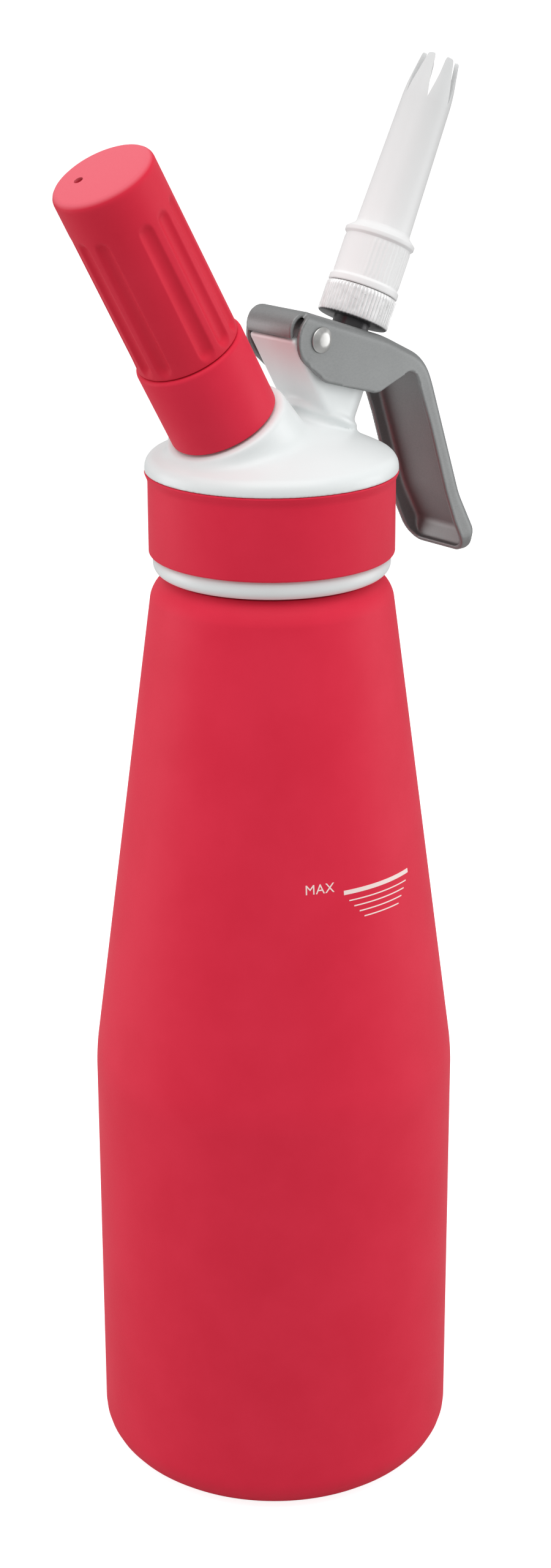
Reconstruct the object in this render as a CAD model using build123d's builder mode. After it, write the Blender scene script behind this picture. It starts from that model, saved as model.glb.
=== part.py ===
"""Whipped cream dispenser of one litre, made as its separate pieces.

A steel vessel in a soft red coat, a white head that screws on its neck, a charger holder that
screws on the head's leaning boss, and a spring-loaded stem valve under a sheet steel lever, with
a knurled adapter and a slit decorator tip on the stem.

Frame: the origin is the middle of the base, +Z goes up the vessel's axis, the charger holder
leans towards -X, and the tip and the lever's handle lean towards +X. Millimetres and degrees.
"""

import os
from math import cos, radians, sin

from build123d import *

# ---------------------------------------------------------------- fits
running_gap = 0.05  # radial room of a shaft in its bore
seat_gap = 0.05  # room between faces of two pieces that come to rest on each other
free_gap = 0.3  # room between pieces that pass each other

# ---------------------------------------------------------------- vessel and coat
body_radius = 47.5
body_height = 116.8  # top of the straight part
shoulder_radius = 30.6
neck_radius = 24.0
neck_height = 268.0  # rim of the mouth
shoulder_height = neck_height - 24.0  # top of the taper
neck_foot_height = neck_height - 18.5
base_round = 10.0
waist_round = 60.0
shoulder_round = 7.0
neck_foot_round = 2.0
coat_thickness = 1.5
vessel_wall = 1.2
coat_edge_height = neck_height - 20.1

# ---------------------------------------------------------------- screw thread of the neck
thread_pitch = 4.0
thread_depth = 1.1
thread_root_width = 1.8
thread_crest_width = 0.9
thread_turns = 2.5
thread_top_gap = 4.0  # from the rim down to the end of the neck's thread

# ---------------------------------------------------------------- head
skirt_bottom = neck_height - 19.5
grip_bottom = neck_height - 14.5
grip_top = neck_height + 6.5
dome_radius = 31.7
dome_crown = neck_height + 18.0
dome_ball = 65.0  # radius of the dome's ball
dome_edge_round = 4.0
ring_radius = 30.0
ring_round = 2.6
grip_seat_radius = 28.8
grip_radius = 31.0
grip_lip = 0.9
grip_lip_height = 2.2
gasket_thickness = 2.4
gasket_width = 4.0

# ---------------------------------------------------------------- charger holder, leaning to -X
holder_lean = 30.0
holder_foot = -7.1  # x where its axis crosses the level of grip_top
cup_height = 16.2  # from that level up the axis to the cup's face
cup_radius = 15.6
cup_flare = 2.4
cup_depth = 14.0
cup_edge_round = 1.4
cup_foot_round = 3.5
boss_radius = 11.0
boss_height = 13.4
boss_root_radius = 7.0
boss_root_depth = 8.0
gas_passage_radius = 1.5
pin_radius = 1.6
pin_tip_radius = 1.1
pin_channel_radius = 0.5
pin_tip_height = 5.0  # above the cup's face
pin_disc_radius = 3.4
pin_disc_thickness = 2.0
charger_radius = 9.3
charger_length = 65.5
charger_neck_radius = 4.4
charger_neck_length = 8.0
charger_shoulder_length = 9.0
charger_wall = 1.0
charger_hole_radius = 1.4
seal_thickness = 1.6
seal_seat = 1.5  # height of the seal's seat above the cup's face
liner_foot_radius = 12.2
liner_radius = 11.4
liner_cap = 1.6
cuff_height = 22.4
cuff_radius = 13.8
cuff_lip_round = 1.0
grip_sleeve_radius = 13.1
grip_sleeve_top_radius = 12.8
grip_sleeve_cap = 1.6
grip_sleeve_edge_round = 1.8
flute_groups = (-79.5, -180.5, 50.0)  # angle of the middle flute of each group
flute_step = 25.5
flute_radius = 2.6
flute_depth = 0.95
flute_low = 26.0
flute_high = 59.5
vent_radius = 1.15
vent_place = (-3.2, 4.8)

# ---------------------------------------------------------------- stem valve, leaning to +X
stem_lean = 25.6
stem_foot = 10.8  # x where its axis crosses the level of grip_top
stem_radius = 4.0
stem_top_radius = 3.4
stem_bore_radius = 2.3
stem_top = 43.0
stem_shoulder = 31.6
stem_port_radius = 1.5
stem_port_height = -3.2
valve_seat = -6.0
valve_seat_radius = 8.4
valve_chamber_radius = 5.4
valve_chamber_top = 0.5
seal_radius = 6.8
valve_seal_thickness = 2.0
stem_foot_thickness = 2.2
guide_top = 14.0
spring_pocket_radius = 7.3
stub_radius = 8.5
stub_top = 26.0
bead_height = 12.4
bead_radius = 1.1
spring_radius = 5.9
spring_wire = 1.1
spring_coils = 6.0
cap_thickness = 2.2
cap_radius = 6.6
cap_crown = 0.7
o_ring_wire = 1.8
o_ring_height = 7.5
o_ring_bore_radius = 4.0

# ---------------------------------------------------------------- adapter and tip
adapter_bottom = 37.3
adapter_height = 7.9
adapter_radius = 8.9
adapter_neck_radius = 4.7
adapter_nose_radius = 6.9
adapter_nose_height = 11.5
adapter_channel_radius = 4.9
washer_radius = 7.9
washer_thickness = 0.9
knurl_count = 56
knurl_radius = 0.28
tip_skirt_radius = 8.45
tip_bead_radius = 0.6
tip_skirt_height = 14.2
tip_cone_radius = 7.05
tip_bend_radius = 6.2  # where the teeth begin to lean inwards
tip_bend_height = 9.0  # of that place under the mouth
tip_bend_round = 40.0
tip_end_radius = 4.75
tip_length = 60.6
tip_wall = 1.1
tip_slits = 6
tip_slit_length = 11.1
tip_slit_width = 2.6  # at the mouth
tip_slit_first = -135.0

# ---------------------------------------------------------------- lever, rivet and post
pivot_x = 7.6  # of the rivet the lever turns on
pivot_z = grip_top + 32.5
rivet_radius = 2.5
rivet_head_radius = 3.2
rivet_head_rise = 0.8
lever_half_width = 10.0  # at the cheeks
handle_half_width = 11.2
flare_high = -4.0  # the lever widens between these heights, from the pivot
flare_low = -16.0
flare_round = 40.0
lever_sheet = 1.2
lever_bend_radius = 2.4
lever_cheek_radius = 7.3
lever_web_slope = 19.2  # the web falls by this angle towards the handle
lever_web_height = 5.58  # of the web's outer face above the pivot
lever_web_start = -4.7  # from the foot of the pivot's normal to the curl
lever_web_run = 26.5  # straight part of the web
handle_drop = 62.4  # from the pivot down to the handle's end
handle_corners = (
    (36.0, -8.9),
    (48.6, 16.5 - handle_drop),
    (54.4, 5.8 - handle_drop),
    (49.6, -9.8 - handle_drop),
)  # of the web's outer face, from the pivot
cheek_corners = (
    (-4.92, -5.4),
    (1.05, -10.6),
    (18.2, -15.6),
    (29.6, -11.4),
    (31.7, -12.6),
    (33.4, -17.8),
    (36.7, -26.3),
    (42.8, 17.5 - handle_drop),
    (46.2, 9.0 - handle_drop),
    (50.9, -handle_drop),
)  # of the cheeks' and flanges' free edge, from the pivot
cheek_rounds = (0, 6, 4, 2.2, 0.4, 0, 0, 0, 0, 0)
handle_corner = 5.2
lever_slot_length = 14.0
lever_slot_shift = 0.0
lever_slot_half_width = 5.3
curl_radius = 4.5
curl_sweep = 129.0
curl_half_width = 8.3
post_half_width = 8.5
post_boss_radius = 4.1
post_back_gap = 6.6  # from the cup's rim to the post's back
post_edge_round = 1.2

os.makedirs("parts", exist_ok=True)


# ================================================================ shared geometry
def leaning_plane(foot, lean):
    """Plane of a leaning axis in the XZ plane: local x across the axis, local y up along it."""
    across = (cos(radians(lean)), 0, -sin(radians(lean)))
    return Plane(origin=(foot, 0, grip_top), x_dir=across, z_dir=(0, -1, 0))


def level_on(side, height):
    """Plane square to the side plane's axis, at a height along it."""
    return Plane(origin=side.from_local_coords((0, height, 0)), x_dir=side.x_dir, z_dir=side.y_dir)


upright = Plane.XZ
holder_side = leaning_plane(holder_foot, -holder_lean)
holder_side = Plane(
    origin=holder_side.from_local_coords((0, cup_height, 0)),
    x_dir=holder_side.x_dir,
    z_dir=holder_side.z_dir,
)  # heights on the holder's axis are measured from the cup's face
stem_side = leaning_plane(stem_foot, stem_lean)


def spin(side, *corners, mode=Mode.ADD, arc=360.0):
    """Turn a profile about the side plane's upright axis. A corner is (r, height, round)."""
    points = [corner[:2] for corner in corners]
    rounds = [corner[2] if len(corner) > 2 else 0 for corner in corners]
    with BuildSketch(side) as profile:
        with BuildLine():
            FilletPolyline(*points, radius=rounds, close=True)
        make_face()
    revolve(profile.sketch, axis=Axis(side.origin, side.y_dir), revolution_arc=arc, mode=mode)


def ring(side, inner, outer, low, high, mode=Mode.ADD):
    """A plain ring or, with an inner radius of 0, a disc."""
    spin(side, (inner, low), (outer, low), (outer, high), (inner, high), mode=mode)


def disc(side, radius, low, high, mode=Mode.ADD):
    ring(side, 0, radius, low, high, mode=mode)


def slab(points, rounds, half_width, mode=Mode.ADD):
    """A flat piece standing in the XZ plane, as thick on both sides of it."""
    with BuildSketch(Plane.XZ) as outline:
        with BuildLine():
            FilletPolyline(*points, radius=rounds, close=True)
        make_face()
    extrude(outline.sketch, amount=half_width, both=True, mode=mode)


def finish(builder, name):
    """Name a piece and write its file."""
    builder.part.label = name
    export_step(builder.part, f"parts/{name}.step")


# ================================================================ vessel, coat and neck thread
def inset_corner(before, corner, after, inset):
    """Where the two walls that meet in a corner cross, once both move in by the inset."""
    first = (Vector(*corner) - Vector(*before)).normalized()
    second = (Vector(*after) - Vector(*corner)).normalized()
    normals = Vector(-first.Y, first.X) + Vector(-second.Y, second.X)
    moved = Vector(*corner) + normals * (inset / (1 + first.dot(second)))
    return moved.X, moved.Y


vessel_corners = [
    (0, 0),
    (body_radius, 0),
    (body_radius, body_height),
    (shoulder_radius, shoulder_height),
    (neck_radius + coat_thickness, neck_foot_height),
    (neck_radius + coat_thickness, neck_height),
]
vessel_rounds = [0, base_round, waist_round, shoulder_round, neck_foot_round]


def vessel_solid(inset, mode=Mode.ADD):
    """The vessel's outer form, moved in by the inset on every wall and open at the rim."""
    walls = [inset_corner(*vessel_corners[i - 1 : i + 2], inset) for i in range(1, 5)]
    outward = [1, 1, 1, -1]
    rounds = [vessel_rounds[i + 1] - outward[i] * inset for i in range(4)]
    corners = [(0, inset)] + [(*wall, turn) for wall, turn in zip(walls, rounds)]
    corners += [(walls[-1][0], neck_height), (0, neck_height)]
    spin(upright, *corners, mode=mode)


def thread_ridge(radius, outward, low, turns):
    """A ridge wound on a cylinder of that radius, standing outward (1) or inward (-1) from it."""
    root = radius - outward * 0.25
    crest = radius + outward * thread_depth
    with BuildLine() as course:
        Helix(thread_pitch, thread_pitch * turns, radius, center=(0, 0, low))
    with BuildSketch(Plane.XZ) as profile:
        with BuildLine():
            Polyline(
                (root, low - thread_root_width / 2),
                (crest, low - thread_crest_width / 2),
                (crest, low + thread_crest_width / 2),
                (root, low + thread_root_width / 2),
                close=True,
            )
        make_face()
    sweep(profile.sketch, path=course.line, is_frenet=True)


neck_thread_high = neck_height - thread_top_gap
neck_thread_low = neck_thread_high - thread_pitch * thread_turns

with BuildPart() as bottle:
    vessel_solid(coat_thickness)
    vessel_solid(coat_thickness + vessel_wall, mode=Mode.SUBTRACT)
    thread_ridge(neck_radius, 1, neck_thread_low, thread_turns)
finish(bottle, "bottle")

with BuildPart() as bottle_coat:
    vessel_solid(0)
    vessel_solid(coat_thickness, mode=Mode.SUBTRACT)
    split(bisect_by=Plane.XY.offset(coat_edge_height), keep=Keep.BOTTOM)
finish(bottle_coat, "bottle_coat")

# ================================================================ head
head_bore_radius = neck_radius + thread_depth + free_gap
roof = neck_height + seat_gap + gasket_thickness + seat_gap
dome_centre = dome_crown - dome_ball
cup_lower_radius = cup_radius + cup_flare

shelf_height = pivot_z + 0.8
post_back = cup_radius + post_back_gap  # distance of the post's back from the holder's axis
back_foot = holder_side.from_local_coords((post_back, -20, 0))
back_top = holder_side.from_local_coords(
    (post_back, (shelf_height - holder_side.from_local_coords((post_back, 0, 0)).Z) / holder_side.y_dir.Z, 0)
)

with BuildPart() as head_body:
    spin(
        upright,
        (0, skirt_bottom),
        (ring_radius, skirt_bottom, ring_round),
        (ring_radius, grip_bottom),
        (grip_seat_radius, grip_bottom),
        (grip_seat_radius, grip_top),
        (dome_radius, grip_top),
        (dome_radius, dome_crown),
        (0, dome_crown),
    )
    with Locations((0, 0, dome_centre)):
        Sphere(dome_ball, mode=Mode.INTERSECT)
    dome_edges = [
        edge
        for edge in head_body.edges().filter_by(GeomType.CIRCLE)
        if grip_top + 1 < edge.center().Z < dome_crown
    ]
    fillet(dome_edges, dome_edge_round)

    # the cup round the holder's foot, and the stub that guides the stem
    spin(
        holder_side,
        (0, -cup_depth),
        (cup_lower_radius, -cup_depth),
        (cup_radius, 0, cup_edge_round),
        (0, 0),
    )
    cup_foot = [
        edge
        for edge in head_body.edges(Select.NEW)
        if edge.geom_type == GeomType.BSPLINE and edge.center().Z > grip_top + 1
    ]
    fillet(cup_foot, cup_foot_round)
    disc(stem_side, stub_radius, 0, stub_top)
    with BuildSketch(stem_side) as stub_bead:
        with Locations((stub_radius + 0.2, bead_height)):
            Circle(bead_radius)
    revolve(stub_bead.sketch, axis=Axis(stem_side.origin, stem_side.y_dir))

    # the post that carries the lever's pivot
    with BuildPart(mode=Mode.PRIVATE) as post:
        slab(
            [
                (back_foot.X, back_foot.Z),
                (back_top.X, back_top.Z),
                (pivot_x - post_boss_radius, shelf_height),
                (pivot_x, pivot_z),
                (pivot_x + post_boss_radius * cos(radians(50)), pivot_z + post_boss_radius * sin(radians(50))),
                (pivot_x + 8.6, pivot_z - 1.8),
                (pivot_x + 9.8, pivot_z - 7.0),
                (pivot_x + 10.6, pivot_z - 25.0),
            ],
            [0, 0.8, 0, 0, 0, 2.5, 0, 0],
            post_half_width,
        )
        with Locations(Location((pivot_x, 0, pivot_z), (90, 0, 0))):
            Cylinder(post_boss_radius, 2 * post_half_width)
        side_edges = [
            edge
            for edge in post.edges()
            if abs(abs(edge.center().Y) - post_half_width) < 0.01
            and edge.center().X < pivot_x + 2
            and edge.center().Z > dome_crown
        ]
        fillet(side_edges, post_edge_round)
    add(post.part)

    # bores
    disc(upright, head_bore_radius, skirt_bottom - 1, roof, mode=Mode.SUBTRACT)
    disc(stem_side, valve_seat_radius, valve_seat - 14, valve_seat, mode=Mode.SUBTRACT)
    disc(stem_side, valve_seat_radius, valve_seat, stub_top / 2)
    disc(stem_side, valve_chamber_radius, valve_seat - 1, valve_chamber_top, mode=Mode.SUBTRACT)
    disc(stem_side, stem_radius + running_gap, 0, stub_top + 8, mode=Mode.SUBTRACT)
    ring(
        stem_side,
        stem_radius,
        o_ring_bore_radius + o_ring_wire,
        o_ring_height - o_ring_wire * 0.6,
        o_ring_height + o_ring_wire * 0.6,
        mode=Mode.SUBTRACT,
    )
    disc(stem_side, spring_pocket_radius, guide_top, stub_top + 8, mode=Mode.SUBTRACT)
    disc(holder_side, boss_root_radius + running_gap, -boss_root_depth, 1, mode=Mode.SUBTRACT)
    disc(holder_side, gas_passage_radius, -boss_root_depth - 16, 0, mode=Mode.SUBTRACT)
    with Locations(Location((pivot_x, 0, pivot_z), (90, 0, 0))):
        Cylinder(rivet_radius + running_gap, 2 * lever_half_width + 4, mode=Mode.SUBTRACT)
    thread_ridge(head_bore_radius, -1, neck_thread_low - thread_pitch / 2, thread_turns)
finish(head_body, "head_body")

with BuildPart() as head_gasket:
    ring(upright, neck_radius + thread_depth - gasket_width, neck_radius + thread_depth, neck_height + seat_gap, roof - seat_gap)
finish(head_gasket, "head_gasket")

with BuildPart() as collar_grip:
    spin(
        upright,
        (grip_seat_radius + running_gap, grip_bottom + seat_gap),
        (grip_radius, grip_bottom + seat_gap, 0.6),
        (grip_radius, grip_top - grip_lip_height, 3),
        (grip_radius + grip_lip, grip_top - seat_gap, 0.3),
        (grip_seat_radius + running_gap, grip_top - seat_gap),
    )
finish(collar_grip, "collar_grip")

# ================================================================ charger, its holder and the pin
seal_top = seal_seat + seal_thickness
charger_low = seal_top + seat_gap
charger_top = charger_low + charger_length
shoulder_low = charger_low + charger_neck_length
shoulder_high = shoulder_low + charger_shoulder_length
pin_bore_radius = pin_radius + running_gap
seal_pocket_radius = charger_neck_radius + 0.9

with BuildPart() as charger_boss:
    spin(
        holder_side,
        (0, -boss_root_depth + seat_gap),
        (boss_root_radius, -boss_root_depth + seat_gap),
        (boss_root_radius, seat_gap),
        (boss_radius, seat_gap),
        (boss_radius, boss_height, 0.4),
        (seal_pocket_radius + 4.2, boss_height),
        (seal_pocket_radius, boss_height - 4.2),
        (seal_pocket_radius, seal_seat),
        (0, seal_seat),
    )
    disc(holder_side, pin_bore_radius, -1, seal_seat + 1, mode=Mode.SUBTRACT)
    disc(holder_side, pin_disc_radius + running_gap, -boss_root_depth, 0, mode=Mode.SUBTRACT)
finish(charger_boss, "charger_boss")

with BuildPart() as piercing_pin:
    spin(
        holder_side,
        (pin_channel_radius, -pin_disc_thickness),
        (pin_disc_radius, -pin_disc_thickness),
        (pin_disc_radius, -seat_gap),
        (pin_radius, -seat_gap),
        (pin_radius, charger_low - 0.4),
        (pin_tip_radius, charger_low),
        (pin_tip_radius, pin_tip_height - 0.6),
        (pin_channel_radius + 0.15, pin_tip_height),
        (pin_channel_radius, pin_tip_height),
    )
finish(piercing_pin, "piercing_pin")

with BuildPart() as non_return_valve:
    disc(holder_side, pin_disc_radius - 0.2, -pin_disc_thickness - 1.9, -pin_disc_thickness - 0.5)
finish(non_return_valve, "non_return_valve")

with BuildPart() as charger_seal:
    ring(holder_side, pin_radius + running_gap, seal_pocket_radius - 0.1, seal_seat + seat_gap, seal_top)
finish(charger_seal, "charger_seal")

with BuildPart() as gas_charger:
    spin(
        holder_side,
        (charger_hole_radius, charger_low),
        (charger_neck_radius, charger_low, 0.5),
        (charger_neck_radius, shoulder_low, 1.5),
        (charger_radius, shoulder_high, 3),
        (charger_radius, charger_top, charger_radius - 0.4),
        (0, charger_top),
        (0, charger_top - charger_wall),
        (charger_radius - charger_wall, charger_top - charger_wall, charger_radius - charger_wall - 0.4),
        (charger_radius - charger_wall, shoulder_high, 2),
        (charger_neck_radius - charger_wall, shoulder_low),
        (charger_neck_radius - charger_wall, charger_low + charger_wall),
        (charger_hole_radius, charger_low + charger_wall),
    )
finish(gas_charger, "gas_charger")

holder_low = 0.6
thread_bore_radius = boss_radius + free_gap
liner_top = charger_top + seat_gap + liner_cap
sleeve_top = liner_top + seat_gap + grip_sleeve_cap

with BuildPart() as charger_holder:
    spin(
        holder_side,
        (0, liner_top),
        (0, charger_top + seat_gap),
        (charger_radius + free_gap, charger_top + seat_gap, 5),
        (charger_radius + free_gap, boss_height + 2.6),
        (thread_bore_radius, boss_height + 0.6),
        (thread_bore_radius, holder_low),
        (liner_foot_radius, holder_low, 0.3),
        (liner_foot_radius, cuff_height + 0.2),
        (liner_radius, cuff_height + 0.2),
        (liner_radius, liner_top, 1.0),
    )
    with BuildSketch(level_on(holder_side, charger_top - 4)):
        with Locations(vent_place):
            Circle(vent_radius)
    extrude(amount=12, mode=Mode.SUBTRACT)
finish(charger_holder, "charger_holder")

with BuildPart() as holder_cuff:
    spin(
        holder_side,
        (liner_foot_radius + running_gap, holder_low),
        (cuff_radius, holder_low, 0.4),
        (cuff_radius, cuff_height, cuff_lip_round),
        (liner_foot_radius + running_gap, cuff_height),
    )
finish(holder_cuff, "holder_cuff")

with BuildPart() as holder_grip:
    spin(
        holder_side,
        (liner_radius + running_gap, cuff_height + 0.3),
        (grip_sleeve_radius, cuff_height + 0.3),
        (grip_sleeve_top_radius, sleeve_top, grip_sleeve_edge_round),
        (0, sleeve_top),
        (0, liner_top + seat_gap),
        (liner_radius + running_gap, liner_top + seat_gap),
    )
    with BuildSketch(level_on(holder_side, charger_top - 4)):
        with Locations(vent_place):
            Circle(vent_radius)
    extrude(amount=14, mode=Mode.SUBTRACT)
    flute_reach = grip_sleeve_radius - flute_depth + flute_radius
    for middle in flute_groups:
        for place in (-1, 0, 1):
            angle = radians(middle + place * flute_step)
            with Locations(
                level_on(holder_side, flute_low).location
                * Location((flute_reach * cos(angle), flute_reach * sin(angle), 0))
            ):
                Cylinder(
                    flute_radius,
                    flute_high - flute_low,
                    align=(Align.CENTER, Align.CENTER, Align.MIN),
                    mode=Mode.SUBTRACT,
                )
                Sphere(flute_radius, mode=Mode.SUBTRACT)
            with Locations(
                level_on(holder_side, flute_high).location
                * Location((flute_reach * cos(angle), flute_reach * sin(angle), 0))
            ):
                Sphere(flute_radius, mode=Mode.SUBTRACT)
finish(holder_grip, "holder_grip")

# ================================================================ stem valve
stem_foot_top = valve_seat - 0.1 - valve_seal_thickness
with BuildPart() as valve_stem:
    spin(
        stem_side,
        (0, stem_foot_top - stem_foot_thickness),
        (seal_radius - 0.6, stem_foot_top - stem_foot_thickness, 0.4),
        (seal_radius - 0.6, stem_foot_top),
        (stem_radius, stem_foot_top),
        (stem_radius, stem_shoulder),
        (stem_top_radius, stem_shoulder),
        (stem_top_radius, stem_top),
        (stem_bore_radius, stem_top),
        (stem_bore_radius, stem_port_height - stem_port_radius - 0.7),
        (0, stem_port_height - stem_port_radius - 0.7),
    )
    with Locations(
        level_on(stem_side, stem_port_height).location * Location((0, 0, 0), (90, 0, 0)),
        level_on(stem_side, stem_port_height).location * Location((0, 0, 0), (0, 90, 0)),
    ):
        Cylinder(stem_port_radius, 3 * stem_radius, mode=Mode.SUBTRACT)
finish(valve_stem, "valve_stem")

with BuildPart() as valve_seal:
    ring(stem_side, stem_radius + running_gap, seal_radius, stem_foot_top + seat_gap, valve_seat - seat_gap)
finish(valve_seal, "valve_seal")

with BuildPart() as stem_o_ring:
    with BuildSketch(stem_side):
        with Locations((stem_radius + running_gap + o_ring_wire / 2 - 0.06, o_ring_height)):
            Circle(o_ring_wire / 2 - 0.06)
    revolve(axis=Axis(stem_side.origin, stem_side.y_dir))
finish(stem_o_ring, "stem_o_ring")

cap_bottom = stem_shoulder + seat_gap
cap_top = cap_bottom + cap_thickness
with BuildPart() as spring_cap:
    spin(
        stem_side,
        (stem_top_radius + running_gap, cap_bottom),
        (cap_radius, cap_bottom),
        (cap_radius, cap_top - cap_crown),
        (cap_radius - 1.8, cap_top),
        (stem_top_radius + running_gap, cap_top),
    )
finish(spring_cap, "spring_cap")

spring_low = guide_top + seat_gap + spring_wire / 2
spring_high = cap_bottom - seat_gap - spring_wire / 2
with BuildPart() as valve_spring:
    spring_rise = (spring_high - spring_low) / spring_coils
    with BuildLine() as coil:
        Helix(
            spring_rise,
            spring_high - spring_low,
            spring_radius,
            center=stem_side.from_local_coords((0, spring_low, 0)),
            direction=stem_side.y_dir,
        )
    with BuildSketch(Plane(origin=coil.line @ 0, z_dir=coil.line % 0)):
        Circle(spring_wire / 2)
    sweep(path=coil.line, is_frenet=True)
    disc(stem_side, stub_radius, guide_top - 5, guide_top + seat_gap, mode=Mode.SUBTRACT)
    disc(stem_side, stub_radius, cap_bottom - seat_gap, cap_bottom + 5, mode=Mode.SUBTRACT)
finish(valve_spring, "valve_spring")

# ================================================================ adapter and tip
adapter_top = adapter_bottom + adapter_height
nose_top = adapter_top + adapter_nose_height
with BuildPart() as tip_adapter:
    with BuildSketch(level_on(stem_side, adapter_bottom)):
        Circle(adapter_radius)
        with PolarLocations(adapter_radius, knurl_count):
            Circle(knurl_radius)
    extrude(amount=adapter_height)
    disc(stem_side, adapter_neck_radius, cap_top + seat_gap, adapter_bottom)
    spin(
        stem_side,
        (0, adapter_top),
        (adapter_nose_radius, adapter_top),
        (adapter_nose_radius, nose_top, 0.8),
        (0, nose_top),
    )
    disc(stem_side, stem_top_radius + running_gap, adapter_bottom - 8, stem_top + seat_gap, mode=Mode.SUBTRACT)
    disc(stem_side, adapter_channel_radius, stem_top + seat_gap, nose_top + 1, mode=Mode.SUBTRACT)
finish(tip_adapter, "tip_adapter")

with BuildPart() as tip_washer:
    ring(
        stem_side,
        adapter_nose_radius + running_gap,
        washer_radius,
        adapter_top + seat_gap,
        adapter_top + seat_gap + washer_thickness,
    )
finish(tip_washer, "tip_washer")

tip_low = adapter_top + 0.2
washer_seat = adapter_top + washer_thickness + 2 * seat_gap
skirt_high = tip_low + tip_skirt_height
tip_high = tip_low + tip_length
cone_low = skirt_high + 1.4
skirt_bore = adapter_nose_radius + 0.4
with BuildPart() as decorator_tip:
    spin(
        stem_side,
        (skirt_bore, washer_seat),
        (washer_radius + 0.1, washer_seat),
        (washer_radius + 0.1, tip_low),
        (tip_skirt_radius + tip_bead_radius, tip_low, 0.3),
        (tip_skirt_radius + tip_bead_radius, tip_low + 1.5, 0.4),
        (tip_skirt_radius, tip_low + 2.1),
        (tip_skirt_radius, skirt_high - 1.9),
        (tip_skirt_radius + tip_bead_radius, skirt_high - 1.3, 0.4),
        (tip_skirt_radius + tip_bead_radius, skirt_high - 0.3, 0.4),
        (tip_cone_radius, cone_low, 1.2),
        (tip_bend_radius, tip_high - tip_bend_height, tip_bend_round),
        (tip_end_radius, tip_high, 0.5),
        (tip_end_radius - tip_wall, tip_high),
        (tip_bend_radius - tip_wall, tip_high - tip_bend_height, tip_bend_round),
        (tip_cone_radius - tip_wall, cone_low),
        (skirt_bore, nose_top + 0.8),
    )
    for slit in range(tip_slits):
        turn = radians(tip_slit_first + slit * 360 / tip_slits)
        level = level_on(stem_side, tip_high)
        outward = level.x_dir * cos(turn) + level.y_dir * sin(turn)
        with BuildSketch(Plane(origin=level.origin, x_dir=outward.cross(level.z_dir), z_dir=outward)):
            with BuildLine():
                FilletPolyline(
                    (0, -tip_slit_length),
                    (tip_slit_width * 0.41, -tip_slit_length * 0.42),
                    (tip_slit_width / 2, 0.4),
                    (-tip_slit_width / 2, 0.4),
                    (-tip_slit_width * 0.41, -tip_slit_length * 0.42),
                    radius=[0.15, 8, 0, 0, 8],
                    close=True,
                )
            make_face()
        extrude(amount=2 * tip_bend_radius, mode=Mode.SUBTRACT)
finish(decorator_tip, "decorator_tip")

# ================================================================ lever and its rivet
web_angle = radians(lever_web_slope)
web_down = Vector(cos(web_angle), -sin(web_angle))
web_normal = Vector(sin(web_angle), cos(web_angle))
pivot = Vector(pivot_x, pivot_z)
web_start = pivot + web_normal * lever_web_height + web_down * lever_web_start
web_back = web_start - web_down * 25
web_knee = web_start + web_down * lever_web_run
handle_end = pivot_z - handle_drop
web_path = [(web_back.X, web_back.Y), (web_knee.X, web_knee.Y)]
web_path += [(pivot_x + across, pivot_z + up) for across, up in handle_corners]
web_rounds = [0, 40, 12, -25, 4, 0]  # negative where the path bends back


def front_view(inset, corner):
    """The lever's outline seen from the handle's side, moved in by the inset."""
    with BuildSketch(Plane.YZ) as outline:
        with BuildLine():
            right_side = [
                (lever_half_width - inset, pivot_z + 30),
                (lever_half_width - inset, pivot_z + flare_high),
                (handle_half_width - inset, pivot_z + flare_low),
                (handle_half_width - inset, handle_end + inset),
            ]
            left_side = [(-across, up) for across, up in reversed(right_side)]
            rounds = [0, flare_round, flare_round, corner]
            FilletPolyline(*right_side, *left_side, radius=rounds + rounds[::-1], close=True)
        make_face()
    return extrude(outline.sketch, amount=200, both=True, mode=Mode.PRIVATE)


def lever_block(inset):
    """All that lies under the lever's sheet, moved in by the inset, with its long edges bent."""
    inner = [inset_corner(web_path[i + 1], web_path[i], web_path[i - 1], inset) for i in range(1, 5)]
    first = web_back - web_normal * inset
    handle_run = (Vector(*web_path[5]) - Vector(*web_path[4])).normalized()
    last = Vector(*web_path[5]) + Vector(handle_run.Y, -handle_run.X) * inset
    with BuildPart() as block:
        slab(
            [(first.X, first.Y), *inner, (last.X, last.Y), (first.X, last.Y)],
            [0, *(abs(turn - inset) for turn in web_rounds[1:5]), 0, 0],
            2 * handle_half_width,
        )
        add(front_view(inset, 0), mode=Mode.INTERSECT)
        long_edges = [
            edge
            for edge in block.edges()
            if abs(edge.center().Y) > lever_half_width - inset - 0.05
            and abs(edge.tangent_at(0.5).X) < 0.99
            and edge.center().X > first.X + 0.1
            and edge.center().Z > handle_end + inset + 0.1
        ]
        fillet(long_edges, lever_bend_radius - inset)
        add(front_view(inset, handle_corner - inset), mode=Mode.INTERSECT)
    return block.part


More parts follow.
